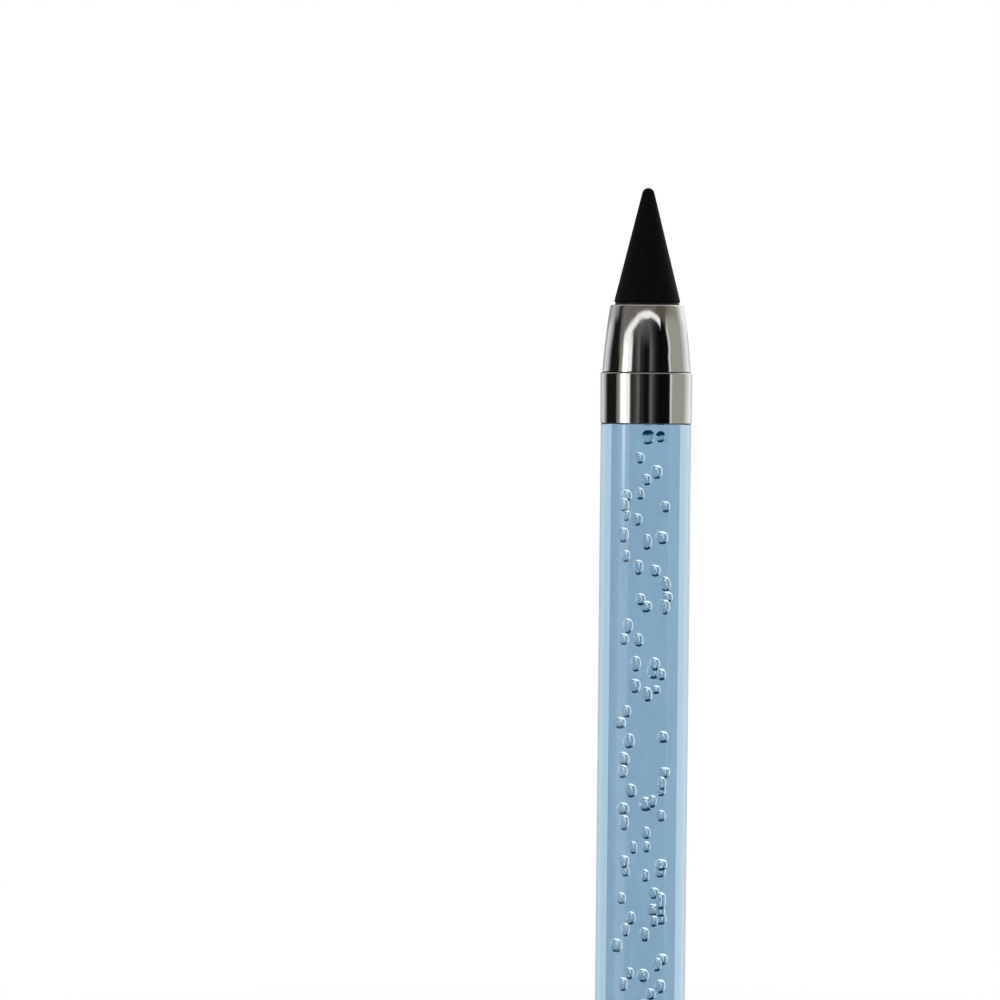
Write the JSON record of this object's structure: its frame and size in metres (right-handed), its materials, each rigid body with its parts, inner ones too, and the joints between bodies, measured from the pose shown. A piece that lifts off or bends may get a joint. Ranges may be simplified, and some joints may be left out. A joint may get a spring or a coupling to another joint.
{
  "type": "inkless pencil",
  "caption": "Inkless pencil that stands on its flat tail: dark graphite cone nib screwed into a chrome nose, clear barrel round a light blue bubbled core, chrome collars and end cap.",
  "frame": {"origin": "centre of the flat tail face, which the pencil stands on", "axes": "+Z along the pencil from its tail to its writing tip; X and Y are alike"},
  "size_m": [0.0112, 0.0112, 0.15],
  "materials": {
    "graphite": "matte",
    "stud_steel": "satin",
    "black_rubber": "satin",
    "chrome_plate": "polished",
    "bush_brass": "satin",
    "clear_resin": "polished",
    "tinted_resin": "gloss"
  },
  "bodies": {
    "barrel": {"nose_cone": "chrome_plate", "nose_bush": "bush_brass", "front_collar": "chrome_plate", "barrel_sleeve": "clear_resin", "barrel_core": "tinted_resin", "rear_collar": "chrome_plate", "end_cap": "chrome_plate"},
    "washer": {"nib_washer": "black_rubber"},
    "nib": {"nib_cone": "graphite", "nib_stud": "stud_steel"}
  },
  "joints": [
    {"name": "nib_lift", "type": "slide", "parent": "barrel", "child": "washer", "axis": [0, 0, 1], "range_m": [0, 0.0049]},
    {"name": "nib_turn", "type": "hinge", "parent": "washer", "child": "nib", "pos_m": [0, 0, 0.1361], "axis": [0, 0, 1], "range_deg": [0, 2520]}
  ],
  "couplings": [
    {"joint": "nib_turn", "follows": "nib_lift", "rad_per_m": 8976}
  ]
}
